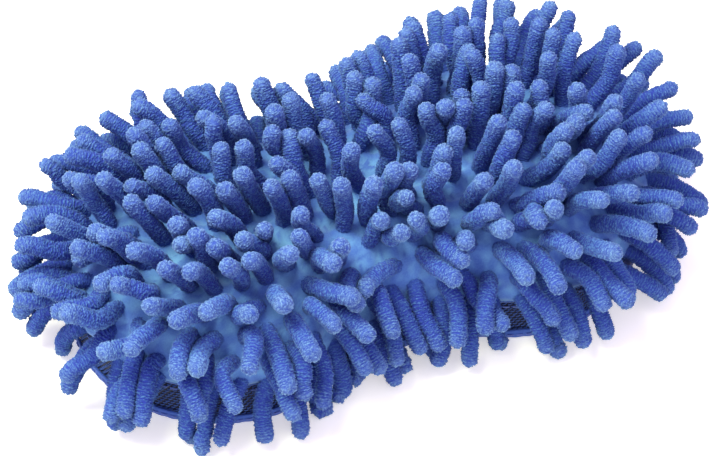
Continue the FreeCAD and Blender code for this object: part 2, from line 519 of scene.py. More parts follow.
FLOOR_DARK, FLOOR_LIGHT = (0.93, 0.94, 0.74), (0.95, 0.96, 0.76)
SKY = (1.00, 0.80, 1.38, 1.0)
LIT_PLACE = Vector((0, 0, 0.02))

# -------- node graphs and finishes


class Sock:
    """A socket of a node graph, with Math nodes behind the operators."""

    def __init__(self, graph, socket):
        self.graph, self.socket = graph, socket

    def _math(self, operation, *values):
        return self.graph.node("ShaderNodeMath", {"operation": operation}, dict(enumerate(values)))[0]

    def __add__(self, other):
        return self._math("ADD", self, other)

    def __sub__(self, other):
        return self._math("SUBTRACT", self, other)

    def __mul__(self, other):
        return self._math("MULTIPLY", self, other)

    def __truediv__(self, other):
        return self._math("DIVIDE", self, other)

    def __rsub__(self, other):
        return self._math("SUBTRACT", other, self)

    __radd__ = __add__
    __rmul__ = __mul__

    def times_plus(self, factor, addend):
        """Multiplied, then added to."""
        return self._math("MULTIPLY_ADD", self, factor, addend)

    def at_least(self, low):
        """The larger of it and low."""
        return self._math("MAXIMUM", self, low)

    def at_most(self, high):
        """The smaller of it and high."""
        return self._math("MINIMUM", self, high)

    def clamped(self):
        """Kept from 0 to 1."""
        return self.at_least(0.0).at_most(1.0)

    def root(self):
        """Its square root."""
        return self._math("SQRT", self)

    def sine(self):
        """Its sine, from -1 to 1."""
        return self._math("SINE", self)


class Graph:
    """A node tree under construction."""

    def node(self, kind, settings=None, values=None):
        """A node: its settings, then values or links by socket name or number. Returns its outputs."""
        node = self.tree.nodes.new(kind)
        for key, value in (settings or {}).items():
            setattr(node, key, value)
        for key, value in (values or {}).items():
            socket = node.inputs[key]
            if isinstance(value, Sock):
                self.tree.links.new(value.socket, socket)
            elif socket.type == "RGBA":
                socket.default_value = (*value, 1.0)
            else:
                socket.default_value = value
        return [Sock(self, output) for output in node.outputs]

    def axes(self, vector):
        """The three shares of a vector."""
        return self.node("ShaderNodeSeparateXYZ", None, {0: vector})

    def vectors(self, operation, values):
        """Vector maths."""
        return self.node("ShaderNodeVectorMath", {"operation": operation}, values)[0]


class Finish(Graph):
    """A material under construction around one Principled shader."""

    def __init__(self, name, **constants):
        self.material = bpy.data.materials.new(name)
        self.material.use_nodes = True
        self.tree = self.material.node_tree
        self.shader = self.tree.nodes["Principled BSDF"]
        for key, value in constants.items():
            self.shader.inputs[key.replace("_", " ")].default_value = value

    def position(self):
        """Object coordinates: the part's own frame, in metres."""
        return self.node("ShaderNodeTexCoord")[3]

    def attribute(self, name):
        """A float stored on the mesh."""
        return self.node("ShaderNodeAttribute", {"attribute_name": name})[2]

    def noise(self, scale, detail=2.0, rough=0.5, vector=None):
        """Noise from 0 to 1, with scale features in a metre."""
        values = {"Vector": vector or self.position(), "Scale": scale, "Detail": detail, "Roughness": rough}
        return self.node("ShaderNodeTexNoise", None, values)[0]

    def mix(self, factor, a, b):
        """Mixes two colours."""
        return self.node("ShaderNodeMix", {"data_type": "RGBA"}, {0: factor, 6: a, 7: b})[2]

    def bump(self, height, strength, distance):
        """A normal tilted by a height."""
        values = {"Strength": strength, "Distance": distance, "Height": height}
        return self.node("ShaderNodeBump", None, values)[0]

    def feed(self, **sockets):
        """Links sockets to the shader's inputs."""
        for key, sock in sockets.items():
            self.tree.links.new(sock.socket, self.shader.inputs[key.replace("_", " ")])
        return self.material


def chenille_finish():
    """Cut microfibre pile: strands wound round the noodle, with painted shade between tufts, painted highlight on
    their crests and a painted highlight towards its free end.
    """
    f = Finish("chenille", Roughness=0.9, Sheen_Weight=0.18, Sheen_Roughness=0.4,
               Sheen_Tint=CHENILLE_SHEEN, Specular_IOR_Level=0.1)
    pile, along, tone = f.attribute("pile"), f.attribute("along"), f.attribute("tone")
    wound = f.node("ShaderNodeAttribute", {"attribute_name": "wound"})[1]
    stretched = f.vectors("MULTIPLY", {0: wound, 1: (0.42, 0.42, 1.2)})
    stroke = f.noise(1000.0, 2.0, 0.55, stretched)
    speck = f.noise(2300.0, 2.0, 0.6)
    reach = f.axes(wound)[2]
    coil = (reach * (2 * math.pi / COIL_PITCH) + f.noise(420.0, 2.0, 0.5, wound) * 7.0).sine()
    coil = coil * (1.0 - ((along - 0.86) * 12.0).clamped())
    grain = (stroke - 0.5) + (speck - 0.5) * 0.8 + coil * 0.17
    # Painted light: pile paints highlight on the tufts' crests and shade at their bases, and along paints the noodle
    # lighter towards its free end; grain and tone are the pile's own colour.
    lift = (pile * 0.65 + grain + along * 0.22 + (tone - 0.5) * 0.12 - 0.04).clamped()
    # Deep to light is painted shade to painted highlight, mixed also by the pile's own grain.
    body = f.mix(lift, CHENILLE_DEEP, CHENILLE_LIGHT)
    # Painted highlight on the noodles' free ends, where they catch the light.
    tip = ((along - 0.70) * 3.6).clamped()
    ends = f.mix(tip * 0.62, body, f.mix(lift, CHENILLE_MID, CHENILLE_TIP_HIGHLIGHT))
    root = (1.0 - along * 4.2).clamped()
    colour = f.mix(root * 0.75, ends, FLEECE_DEEP)
    bump = f.bump(stroke + speck * 0.4 + coil * 0.3, 0.8, 0.5 * MM)
    return f.feed(Base_Color=colour, Normal=bump)


def fleece_finish():
    """Brushed knit: an even pale nap with a faint grain, with painted shade round the noodles' roots and along the
    folds between them.
    """
    f = Finish("fleece", Roughness=0.95, Sheen_Weight=0.5, Sheen_Roughness=0.5,
               Sheen_Tint=FLEECE_SHEEN, Specular_IOR_Level=0.1)
    nap = f.noise(1400.0, 3.0, 0.6)
    cloud = f.noise(45.0, 3.0, 0.5)
    # Painted shade: ridge darkens the cloth round the noodles' roots and along the folds from root to root; cloud and
    # nap are its own colour.
    lift = (0.90 - f.attribute("ridge") * 0.8 + (cloud - 0.5) * 0.6 + (nap - 0.5) * 0.5).clamped()
    colour = f.mix(lift, FLEECE_DEEP, FLEECE_LIGHT)
    return f.feed(Base_Color=colour, Normal=f.bump(nap, 0.35, 0.3 * MM))


def ribs(along, waves):
    """Even ribs from 0 to 1 across a direction."""
    return (along * waves).sine() * 0.5 + 0.5


def knit_finish(name, ground, yarn):
    """Plain fine knit with ribs along X."""
    f = Finish(name, Roughness=0.85, Sheen_Weight=0.2, Sheen_Roughness=0.5, Specular_IOR_Level=0.2)
    x, y, z = f.axes(f.position())
    cross = ribs(x, KNIT_RIBS) * ribs(y + z, KNIT_RIBS)
    fuzz = f.noise(1500.0, rough=0.6)
    colour = f.mix((cross * 0.8 + fuzz * 0.3).clamped(), ground, yarn)
    return f.feed(Base_Color=colour, Normal=f.bump(cross + fuzz * 0.3, 0.6, 0.2 * MM))


def mesh_finish():
    """Coarse scrub mesh: blue monofilament rows over a near-black ground, told apart by an attribute."""
    f = Finish("scrub_mesh", Roughness=0.6, Specular_IOR_Level=0.35)
    wear = f.noise(500.0, 3.0, 0.6)
    strand = f.mix(wear, STRAND_DARK, STRAND_LIGHT)
    ground = f.mix(wear, UNDER_MESH_DARK, UNDER_MESH_LIGHT)
    return f.feed(Base_Color=f.mix(f.attribute("yarn"), ground, strand), Normal=f.bump(wear, 0.4, 0.2 * MM))


def tape_finish():
    """Twill tape: fine slanting ribs."""
    f = Finish("twill_tape", Roughness=0.7, Sheen_Weight=0.15, Specular_IOR_Level=0.25)
    x, y, z = f.axes(f.position())
    rib = ribs(x + y + z * 2.0, TAPE_RIBS)
    fuzz = f.noise(1200.0, 2.0, 0.6)
    colour = f.mix((rib * 0.6 + fuzz * 0.4).clamped(), TAPE_DARK, TAPE_LIGHT)
    return f.feed(Base_Color=colour, Normal=f.bump(rib, 0.5, 0.15 * MM))


def elastic_finish():
    """Ribbed webbing whose ribs run round the mouth."""
    f = Finish("elastic_webbing", Roughness=0.65, Sheen_Weight=0.15)
    rib = ribs(f.axes(f.position())[0], KNIT_RIBS)
    fuzz = f.noise(1500.0, 2.0, 0.6)
    colour = f.mix((rib * 0.7 + fuzz * 0.3).clamped(), ELASTIC_DARK, ELASTIC_LIGHT)
    return f.feed(Base_Color=colour, Normal=f.bump(rib, 0.7, 0.2 * MM))


def thread_finish():
    """Twisted polyester thread."""
    f = Finish("thread", Roughness=0.5, Sheen_Weight=0.2)
    twist = f.noise(2600.0, 2.0, 0.6)
    colour = f.mix(twist, THREAD_DARK, THREAD_LIGHT)
    return f.feed(Base_Color=colour, Normal=f.bump(twist, 0.5, 0.1 * MM))


def foam_finish():
    """Open-cell sponge."""
    f = Finish("sponge_foam", Roughness=0.9)
    cells = f.node("ShaderNodeTexVoronoi", None, {"Vector": f.position(), "Scale": 900.0})[0]
    colour = f.mix((cells * 1.6).clamped(), FOAM_DARK, FOAM_LIGHT)
    return f.feed(Base_Color=colour, Normal=f.bump(cells, 0.8, 0.4 * MM))


# -------- noodles


def loose_parts(mesh):
    """The corners of each closed solid in a mesh of loose triangles, one array a solid."""
    co = np.zeros(len(mesh.vertices) * 3, np.float32)
    mesh.vertices.foreach_get("co", co)
    co = co.reshape(-1, 3).astype(float)
    keys = np.round(co / SAME_PLACE).astype(np.int64)
    _, first, inverse = np.unique(keys, axis=0, return_index=True, return_inverse=True)
    inverse = inverse.reshape(-1)
    places = co[first]
    parent = list(range(len(places)))

    def find(i):
        while parent[i] != i:
            parent[i] = parent[parent[i]]
            i = parent[i]
        return i

    for polygon in mesh.polygons:
        a, *rest = [find(inverse[v]) for v in polygon.vertices]
        for b in rest:
            parent[find(b)] = find(a)
    groups = {}
    for i in range(len(places)):
        groups.setdefault(find(i), []).append(i)
    return [places[members] for members in groups.values()]


def noodle_lines(node):
    """Root, bend and tip of each noodle of a CAD node, read from its solids: bent prisms with a peak."""
    lines = []
    for corners in loose_parts(frame["nodes"][node].data):
        foot = corners[np.argsort(dome_distance(corners))[:SOLID_NOODLE_SIDES]].mean(0)
        corners = corners[np.argsort(np.linalg.norm(corners - foot, axis=1))]
        bend = corners[SOLID_NOODLE_SIDES:2 * SOLID_NOODLE_SIDES].mean(0)
        lines.append((foot, bend, corners[-1]))
    return sorted(lines, key=lambda line: tuple(np.round(line[0], 5)))


def across(vectors, axes):
    """The vectors without their share along unit axes."""
    return vectors - (vectors * axes).sum(1, keepdims=True) * axes


def unit(vectors):
    """Vectors of length 1."""
    return vectors / np.linalg.norm(vectors, axis=1, keepdims=True)


def random_push(rng, axes, amount):
    """A push across each axis, in a random direction and of random size."""
    direction = unit(across(rng.normal(0, 1, axes.shape), axes))
    return direction * np.abs(rng.normal(0, amount, (len(axes), 1)))


def noodle_lengths(roots, bends, tips, low, normal, rng):
    """The solids' lengths, varied at random and shorter at the hem and the back."""
    length = np.linalg.norm(bends - roots, axis=1, keepdims=True)
    length += np.linalg.norm(tips - bends, axis=1, keepdims=True)
    length = length * rng.uniform(*LENGTH_SPREAD, (len(roots), 1)) * (1 - HEM_SHORTENING * low)
    return length * (1 - BACK_SHORTENING * np.clip(BACK_GAIN * normal[:, 1:2], 0, 1))


def downward_pull(low, aim, normal, rng):
    """How much each noodle hangs, at the hem, or sags, elsewhere."""
    count = len(aim)
    hang = low * rng.uniform(*HANG_SPREAD, (count, 1))
    up = np.clip(normal[:, 2:], 0, 1)
    lean = np.hypot(aim[:, :1], aim[:, 1:2])
    sag = (1 - low) * lean * (1 - up**2) * rng.uniform(*SAG_SPREAD, (count, 1))
    sag += (1 - up) * (BACK_SAG * np.clip(normal[:, 1:2], 0, 1) + END_SAG * np.clip(normal[:, :1], 0, 1))
    return hang + sag


def goal_shapes(roots, bends, tips, rng):
    """Every noodle's relaxed shape: the solid's bend as an arc, turned, curled and sagging at random."""
    count = len(roots)
    aim = unit(tips - roots)
    low = np.clip((HANG_TOP - roots[:, 2:]) / (HANG_TOP - PALM_TOP), 0, 1)
    normal = dome_normal(roots)
    length = noodle_lengths(roots, bends, tips, low, normal, rng)
    roots = roots + across(rng.normal(0, ROOT_SCATTER, (count, 3)), normal)
    stray = np.where(rng.random((count, 1)) < WILD_SHARE, WILD_TURN, COMMON_TURN) * (1 + HEM_STRAY * low)
    turn = across(rng.normal(0, 1, (count, 3)), aim) * stray
    bow = (unit(bends - roots) - unit(tips - bends)) * rng.uniform(*BOW_SPREAD, (count, 1))
    curl = random_push(rng, aim, CURL) * (1 + HEM_CURL * low)
    fall = np.array([[0, 0, -1.0]]) * downward_pull(low, aim, normal, rng)
    wave = random_push(rng, aim, WAVE)
    far_lobe = np.clip(0.5 - roots[:, :1] / COMB_BLEND, 0, 1)
    comb = np.array([COMB]) * far_lobe * np.clip(COMB_GAIN * normal[:, 2:], 0, 1)
    steps = NOODLE_POINTS - 1
    shapes = np.zeros((count, NOODLE_POINTS, 3))
    shapes[:, 0] = roots - normal * ROOT_SINK
    for i in range(steps):
        share = i / (steps - 1)
        bend = (bow + curl) * BEND_GAIN * (0.5 - share) + fall * (0.3 + share)
        heading = unit(aim + comb + turn + bend + wave * math.sin(2 * math.pi * share))
        shapes[:, i + 1] = shapes[:, i] + heading * length / steps
    return shapes, length


def close_pairs(flat, reach):
    """Arrays of index pairs of points that are within reach along X."""
    order = np.argsort(flat[:, 0])
    xs = flat[order, 0]
    upto = np.searchsorted(xs, xs + reach)
    for start in range(1, int((upto - np.arange(len(xs))).max())):
        a = np.arange(len(xs) - start)
        a = a[upto[a] > a + start]
        yield order[a], order[a + start]


def push_apart(flat, owner, free, reach):
    """Points of different noodles that are closer than reach move away from each other."""
    push, hits = np.zeros_like(flat), np.zeros(len(flat))
    for i, j in close_pairs(flat, reach):
        gap = flat[i] - flat[j]
        span = np.sqrt((gap**2).sum(1))
        near = (span < reach) & (owner[i] != owner[j]) & free[i] & free[j]
        i, j, gap, span = i[near], j[near], gap[near], np.maximum(span[near], 1e-7)
        move = gap * ((reach - span) / span * 0.5)[:, None]
        np.add.at(push, i, move)
        np.add.at(push, j, -move)
        np.add.at(hits, i, 1)
        np.add.at(hits, j, 1)
    return flat + push / np.maximum(hits, 1)[:, None] * PUSH_SHARE


def keep_lengths(x, rest):
    """Neighbouring points of a noodle return to their distance; its root stays."""
    for _ in range(LENGTH_ROUNDS):
        for k in range(x.shape[1] - 1):
            gap = x[:, k + 1] - x[:, k]
            span = np.maximum(np.linalg.norm(gap, axis=1), 1e-9)
            shift = gap * ((span - rest) / span)[:, None]
            if k == 0:
                x[:, 1] -= shift
            else:
                x[:, k] += shift * 0.5
                x[:, k + 1] -= shift * 0.5


def settle(shapes, length, rounds):
    """Noodles pushed clear of each other, the cloth and the ground, yet drawn to their relaxed shapes."""
    count, points = shapes.shape[:2]
    rest = (length / (points - 1))[:, 0]
    owner = np.repeat(np.arange(count), points)
    step_along = np.tile(np.arange(points), count)
    free = step_along > 0
    clear = np.minimum(NOODLE_RADIUS * CLOTH_CLEARANCE, rest[0] * ROOT_EASE * step_along)
    x = shapes.copy()
    for _ in range(rounds):
        x += (shapes - x) * PULL_BACK
        flat = push_apart(x.reshape(-1, 3), owner, free, 2 * NOODLE_RADIUS * CROWDING)
        depth = clear - dome_distance(flat)
        inside = (depth > 0) & free
        flat[inside] += dome_normal(flat[inside]) * depth[inside, None]
        flat[free, 2] = np.maximum(flat[free, 2], NOODLE_RADIUS * GROUND_CLEARANCE)
        x = flat.reshape(count, points, 3)
        x[:, 0] = shapes[:, 0]
        keep_lengths(x, rest)
    return x


class Tree(Graph):
    """A Geometry Nodes tree under construction, with named inputs."""

    def __init__(self, name, inputs):
        self.tree = bpy.data.node_groups.new(name, "GeometryNodeTree")
        interface = self.tree.interface
        interface.new_socket("Geometry", in_out="INPUT", socket_type="NodeSocketGeometry")
        self.ids = {}
        for label, (kind, default) in inputs.items():
            item = interface.new_socket(label, in_out="INPUT", socket_type=kind)
            if default is not None:
                item.default_value = default
            self.ids[label] = item.identifier
        interface.new_socket("Geometry", in_out="OUTPUT", socket_type="NodeSocketGeometry")
        group = self.tree.nodes.new("NodeGroupInput")
        self.inputs = {output.name: Sock(self, output) for output in group.outputs if output.name}
        self.out = self.tree.nodes.new("NodeGroupOutput")

    def field(self, kind, name):
        """A stored attribute."""
        return self.node("GeometryNodeInputNamedAttribute", {"data_type": kind}, {"Name": name})[0]

    def store(self, kind, geometry, name, value):
        """The geometry with an attribute stored on its points."""
        settings = {"data_type": kind, "domain": "POINT"}
        return self.node("GeometryNodeStoreNamedAttribute", settings,
                         {0: geometry, "Name": name, "Value": value})[0]

    def circle(self, sides, radius):
        """A curve round the origin."""
        return self.node("GeometryNodeCurvePrimitiveCircle", {"mode": "RADIUS"},
                         {"Resolution": sides, "Radius": radius})[0]

    def finish(self, *parts):
        """Joins the parts, realizes instances, sets the material and closes the tree."""
        joined = self.tree.nodes.new("GeometryNodeJoinGeometry")
        for part in parts:
            self.tree.links.new(part.socket, joined.inputs[0])
        real = self.node("GeometryNodeRealizeInstances", None, {0: Sock(self, joined.outputs[0])})[0]
        wear = {0: real, "Material": self.inputs["Material"]}
        dressed = self.node("GeometryNodeSetMaterial", None, wear)[0]
        self.tree.links.new(dressed.socket, self.out.inputs[0])
        return self

    def run_on(self, piece, **values):
        """Runs the tree on the piece and keeps the plain mesh."""
        modifier = piece.modifiers.new("build", "NODES")
        modifier.node_group = self.tree
        for label, value in values.items():
            modifier[self.ids[label]] = value
        apply_modifiers(piece)


def tuft_mesh():
    """One tuft of cut pile: a low ridge across the noodle, marked 1 at its crest and 0 at its base, which the chenille
    colour turns into painted highlight and painted shade.
    """
    half, side = TUFT_HALF_LENGTH, TUFT_HALF_WIDTH
    verts = [(-half, 0, 0), (0, -side, 0), (half, 0, 0), (0, side, 0), (0, 0, PILE_DEPTH)]
    tuft = mesh_object("tuft", verts, [(0, 1, 4), (1, 2, 4), (2, 3, 4), (3, 0, 4)])
    point_attribute(tuft, "pile", [0, 0, 0, 0, 1])
    tuft.hide_render = True
    return tuft


def core_radius(tree, factor, distance):
    """The core's radius along a noodle: a narrower neck, a round free end, and each noodle's own fatness."""
    radius = tree.inputs["Radius"]
    left = tree.node("GeometryNodeSplineLength")[0] - distance
    back = 1.0 - (left / radius).at_most(1.0)
    round_end = (1.0 - back * back).root()
    neck = (factor * NECK_RISE).at_most(1.0).times_plus(1 - NECK_FATNESS, NECK_FATNESS)
    return (round_end * neck * (radius * tree.field("FLOAT", "fat"))).at_least(THINNEST_CORE)


def centre_curve(tree, factor, distance):
    """The centre lines as evenly spaced curves that know their direction and how far along they are."""
    curve = tree.node("GeometryNodeMeshToCurve", None, {0: tree.inputs["Geometry"]})[0]
    curve = tree.node("GeometryNodeCurveSplineType", {"spline_type": "CATMULL_ROM"}, {0: curve})[0]
    spacing = {0: curve, "Length": tree.inputs["Spacing"]}
    curve = tree.node("GeometryNodeResampleCurve", {"mode": "LENGTH"}, spacing)[0]
    curve = tree.store("FLOAT_VECTOR", curve, "run", tree.node("GeometryNodeInputTangent")[0])
    curve = tree.store("FLOAT", curve, "along", factor)
    return tree.store("FLOAT", curve, "reach", distance)


def wound_place(tree):
    """A place on the core in its own space: across it in X and Y, shifted by tone, and along it in Z."""
    spoke = tree.axes(tree.field("FLOAT_VECTOR", "spoke"))
    radius = tree.inputs["Radius"]
    y = spoke[1].times_plus(radius, tree.field("FLOAT", "tone"))
    values = {0: spoke[0] * radius, 1: y, 2: tree.field("FLOAT", "reach")}
    return tree.node("ShaderNodeCombineXYZ", None, values)[0]


def uneven(tree, core):
    """The core with a slightly lumpy surface."""
    lumps = tree.node("ShaderNodeTexNoise", None, {"Scale": LUMPS_IN_A_METRE, "Detail": 2.0})[0]
    normal = tree.node("GeometryNodeInputNormal")[0]
    offset = tree.vectors("SCALE", {0: normal, "Scale": (lumps - 0.5) * LUMP_HEIGHT})
    return tree.node("GeometryNodeSetPosition", None, {"Geometry": core, "Offset": offset})[0]


def noodle_core(tree):
    """A round-ended tube along each centre line."""
    factor, distance, _ = tree.node("GeometryNodeSplineParameter")
    curve = centre_curve(tree, factor, distance)
    ring = tree.circle(tree.inputs["Sides"], 1.0)
    ring = tree.store("FLOAT_VECTOR", ring, "spoke", tree.node("GeometryNodeInputPosition")[0])
    scale = core_radius(tree, factor, distance)
    tube = {"Curve": curve, "Profile Curve": ring, "Scale": scale, "Fill Caps": True}
    core = tree.node("GeometryNodeCurveToMesh", None, tube)[0]
    return uneven(tree, tree.store("FLOAT_VECTOR", core, "wound", wound_place(tree)))


def pile_on(tree, core):
    """Tufts scattered over the core, each lying across the noodle and tilted a little at random."""
    seed = tree.inputs["Seed"]
    points, normal, _ = tree.node("GeometryNodeDistributePointsOnFaces", {"distribute_method": "RANDOM"},
                                  {"Mesh": core, "Density": tree.inputs["Tufts"], "Seed": seed})
    sideways = tree.vectors("CROSS_PRODUCT", {0: tree.field("FLOAT_VECTOR", "run"), 1: normal})
    turned = tree.node("FunctionNodeAlignRotationToVector", {"axis": "Z"}, {"Vector": normal})[0]
    turned = tree.node("FunctionNodeAlignRotationToVector", {"axis": "X", "pivot_axis": "Z"},
                       {"Rotation": turned, "Vector": sideways})[0]
    tilt = tree.node("FunctionNodeRandomValue", {"data_type": "FLOAT_VECTOR"},
                     {0: [-angle for angle in TUFT_TILT], 1: TUFT_TILT, "Seed": seed})[0]
    turned = tree.node("FunctionNodeRotateRotation", {"rotation_space": "LOCAL"},
                       {"Rotation": turned, "Rotate By": tilt})[0]
    scale = tree.node("FunctionNodeRandomValue", {"data_type": "FLOAT"},
                      {2: TUFT_SIZES[0], 3: TUFT_SIZES[1], "Seed": seed})[1]
    shape = tree.node("GeometryNodeObjectInfo", None, {"Object": tree.inputs["Tuft"]})[-1]
    return tree.node("GeometryNodeInstanceOnPoints", None,
                     {"Points": points, "Instance": shape, "Rotation": turned, "Scale": scale})[0]


def noodle_tree():
    """Edges along the noodles' centre lines become round-ended cores covered with tufts of pile."""
    tree = Tree("chenille_noodle", {
        "Radius": ("NodeSocketFloat", CORE_RADIUS),
        "Spacing": ("NodeSocketFloat", 1.5 * MM),
        "Sides": ("NodeSocketInt", 14),
        "Tufts": ("NodeSocketFloat", TUFTS_PER_SQUARE_METRE),
        "Seed": ("NodeSocketInt", 1),
        "Tuft": ("NodeSocketObject", None),
        "Material": ("NodeSocketMaterial", None),
    })
    core = noodle_core(tree)
    return tree.finish(core, pile_on(tree, core))


def relaxed_noodles(lines, rng):
    """Settled shapes for lines of (node, root, bend, tip)."""
    roots, bends, tips = (np.array([line[k] for line in lines]) for k in (1, 2, 3))
    shapes, length = goal_shapes(roots, bends, tips, rng)
    return settle(shapes, length, QUICK_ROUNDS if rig.quick() else SETTLING_ROUNDS)


def noodle_pieces(material):
    """Two pieces at most for each CAD node of noodles. Returns the noodles' roots."""
    rng = np.random.default_rng(NOODLE_SEED)
    nodes = sorted(name for name in frame["nodes"] if name.startswith("noodles_"))
    lines = [(node, *line) for node in nodes for line in noodle_lines(node)]
    shapes = relaxed_noodles(lines, rng)
    tone = rng.random(len(lines))
    fat = rng.uniform(*FATNESS_SPREAD, len(lines))
    tuft = tuft_mesh()
    tree = noodle_tree()
    seed = 0
    for node in nodes:
        whole = [i for i, line in enumerate(lines) if line[0] == node]
        shares = math.ceil(len(whole) / MOST_IN_A_PIECE)
        for share in range(shares):
            mine = whole[share * len(whole) // shares:(share + 1) * len(whole) // shares]
            seed += 1
            piece = lines_object("chenille_%s_%d" % (node, share + 1), shapes[mine])
            point_attribute(piece, "tone", np.repeat(tone[mine], NOODLE_POINTS))
            point_attribute(piece, "fat", np.repeat(fat[mine], NOODLE_POINTS))
            tree.run_on(piece, Seed=seed, Tuft=tuft, Material=material)
            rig.ride(piece, "root")
            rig.replaces(piece, node)
            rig.slot(piece, "chenille")
    bpy.data.objects.remove(tuft)
    return shapes[:, 0]


# -------- cloth, pad and linings


def still(points, share):
    """A wave that moves nothing."""
    return np.zeros(len(points))


def level_ring(points, z):
    """Plan points at height z."""
    return np.column_stack([points, np.full(len(points), z)])


def dome_rings(inset, bottom, top, wall, rounding, crown, count):
    """Rings of points from the bottom edge up the wall, round the edge and in to the middle line."""
    radius = CROWN_RADIUS - inset
    foot, _ = outline(inset, count)
    rings = [level_ring(foot, bottom + (top - radius - bottom) * i / wall) for i in range(wall)]
    for i in range(rounding):
        rise = math.pi / 2 * i / rounding
        points, _ = outline(inset + radius * (1 - math.cos(rise)), count)
        rings.append(level_ring(points, top - radius * (1 - math.sin(rise))))
    return rings + flat_rings(inset + radius, top, crown, count, inwards=True)


def flat_rings(inset, z, steps, count, inwards, wave=still):
    """Rings between the outline and the middle line at about height z, with wave lifting each point."""
    edge, _ = outline(inset, count)
    middle = np.column_stack([np.clip(edge[:, 0], -LOBE_OFFSET, LOBE_OFFSET), np.zeros(count)])
    rings = []
    for i in range(steps + 1):
        share = i / steps if inwards else 1 - i / steps
        points = edge + (middle - edge) * share
        rings.append(np.column_stack([points, z + wave(points, share)]))
    return rings


def cloth_relief(points, roots):
    """The cloth's relief: cones that the noodles pull up round their roots, and folds from root to root."""
    tree = KDTree(len(roots))
    for i, root in enumerate(roots):
        tree.insert(root, i)
    tree.balance()
    near, folds = np.zeros(len(points)), np.zeros(len(points))
    for i, point in enumerate(points):
        found = tree.find_n(point, 4)
        near[i] = found[0][2]
        for _, other, distance in found[1:3]:
            straight = np.linalg.norm(roots[found[0][1]] - roots[other])
            detour = near[i] + distance - straight
            folds[i] = max(folds[i], math.exp(-((detour / FOLD_WIDTH) ** 2)))
    return np.exp(-((near / CONE_RADIUS) ** 2)), folds


def noodle_cloth(roots, material):
    """The brushed cloth that the noodles are sewn to, over the pad."""
    rings = dome_rings(0, PALM_TOP, CLOTH_TOP, wall=2, rounding=30, crown=24, count=CLOTH_COLUMNS)
    verts = np.concatenate(rings)
    cones, folds = cloth_relief(verts, roots)
    hem = np.clip((verts[:, 2] - PALM_TOP) / HEM_BLEND, 0, 1)
    x, y, z = (verts * DRIFT_WAVES).T
    drift = np.sin(x + 1.3) * np.sin(y + z)
    relief = CONE_HEIGHT * cones + FOLD_HEIGHT * folds * (1 - cones) + DRIFT_HEIGHT * drift
    verts = verts + dome_normal(verts + 1e-6) * (relief * hem)[:, None]
    piece = mesh_object("brushed_noodle_cloth", verts, grid_faces(len(rings), CLOTH_COLUMNS))
    # The ridge mark carries the fleece's painted shade round the roots and along the folds.
    point_attribute(piece, "ridge", np.clip(0.25 + 0.75 * np.maximum(folds, cones), 0, 1))
    merge_doubles(piece, MIDDLE_SEAM)
    solid = piece.modifiers.new("thickness", "SOLIDIFY")
    solid.thickness, solid.offset = CLOTH_SKIN, -1.0
    apply_modifiers(piece)
    piece.data.shade_smooth()
    set_material(piece, material)
    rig.ride(piece, "root")
    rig.replaces(piece, "noodle_cloth")
    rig.slot(piece, "fleece")
    drop = CLOTH_TOP - CROWN_RADIUS - PALM_TOP + CROWN_RADIUS * (math.pi / 2 - 1)
    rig.sheet(piece, **plan_cut(0, drop), held="stretched", rests_on=["foam_core"])


def closed_pile(name, rings):
    """A closed mesh through rings that end on the middle line at both ends."""
    piece = mesh_object(name, np.concatenate(rings), grid_faces(len(rings), len(rings[0])))
    merge_doubles(piece, MIDDLE_SEAM)
    return piece


def foam_pad(material):
    """The sponge pad under the noodle cloth."""
    inset, low, high = FOAM_INSET + FOAM_SLACK, PALM_TOP + FOAM_SLACK, FOAM_TOP - FOAM_SLACK
    under = flat_rings(inset, PALM_TOP + 0.05 * MM, steps=14, count=200, inwards=False)
    over = dome_rings(inset, low, high, wall=3, rounding=12, crown=14, count=200)
    piece = closed_pile("sponge_pad", under + over)
    set_material(piece, material)
    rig.ride(piece, "root")
    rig.replaces(piece, "foam_core")
    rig.slot(piece, "foam")
    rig.padded(piece, fill=0.95)


def lining(name, node, slot, material, inset, bottom, top, ripple, held, rests_on):
    """A thin flat layer with the body's outline and a rounded rim, rippled as sewn cloth is."""
    def wave(points, share):
        x, y = (points * RIPPLE_WAVES).T
        return ripple * min(1.0, share * 4) * np.sin(x) * np.cos(y)

    under = flat_rings(inset, bottom + LINING_RIM, LINING_STEPS, LINING_COLUMNS, inwards=False, wave=wave)
    over = flat_rings(inset, top - LINING_RIM, LINING_STEPS, LINING_COLUMNS, inwards=True, wave=wave)
    piece = closed_pile(name, under + over)
    set_material(piece, material)
    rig.ride(piece, "root")
    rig.replaces(piece, node)
    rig.slot(piece, slot)
    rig.sheet(piece, **plan_cut(inset), held=held, rests_on=[rests_on])


# -------- mesh, tape, mouth and stitching


def strip_rings(inset, bottom, top, thickness, count, wave=still, rows=6):
    """Rings of an upright strip open at the mouth: from its lower edge up its face, then down its back."""
    points, normals = outline(inset, count, mouth_gap=True)
    rings = []
    for side in (0, 1):
        for i in range(rows + 1):
            share = i / rows if side == 0 else 1 - i / rows
            proud = wave(points, share) - side * thickness
            rings.append(level_ring(points + normals * proud[:, None], bottom + (top - bottom) * share))
    return rings


def closed_strip(name, rings):
    """The strip's rings joined into a tube that is capped at both ends."""
    total, count = len(rings), len(rings[0])
    faces = grid_faces(total, count, loops=False, closed=True)
    faces.append(tuple(r * count for r in range(total)))
    faces.append(tuple(r * count + count - 1 for r in reversed(range(total))))
    piece = mesh_object(name, np.concatenate(rings), faces)
    merge_doubles(piece, SAME_PLACE)
    return piece


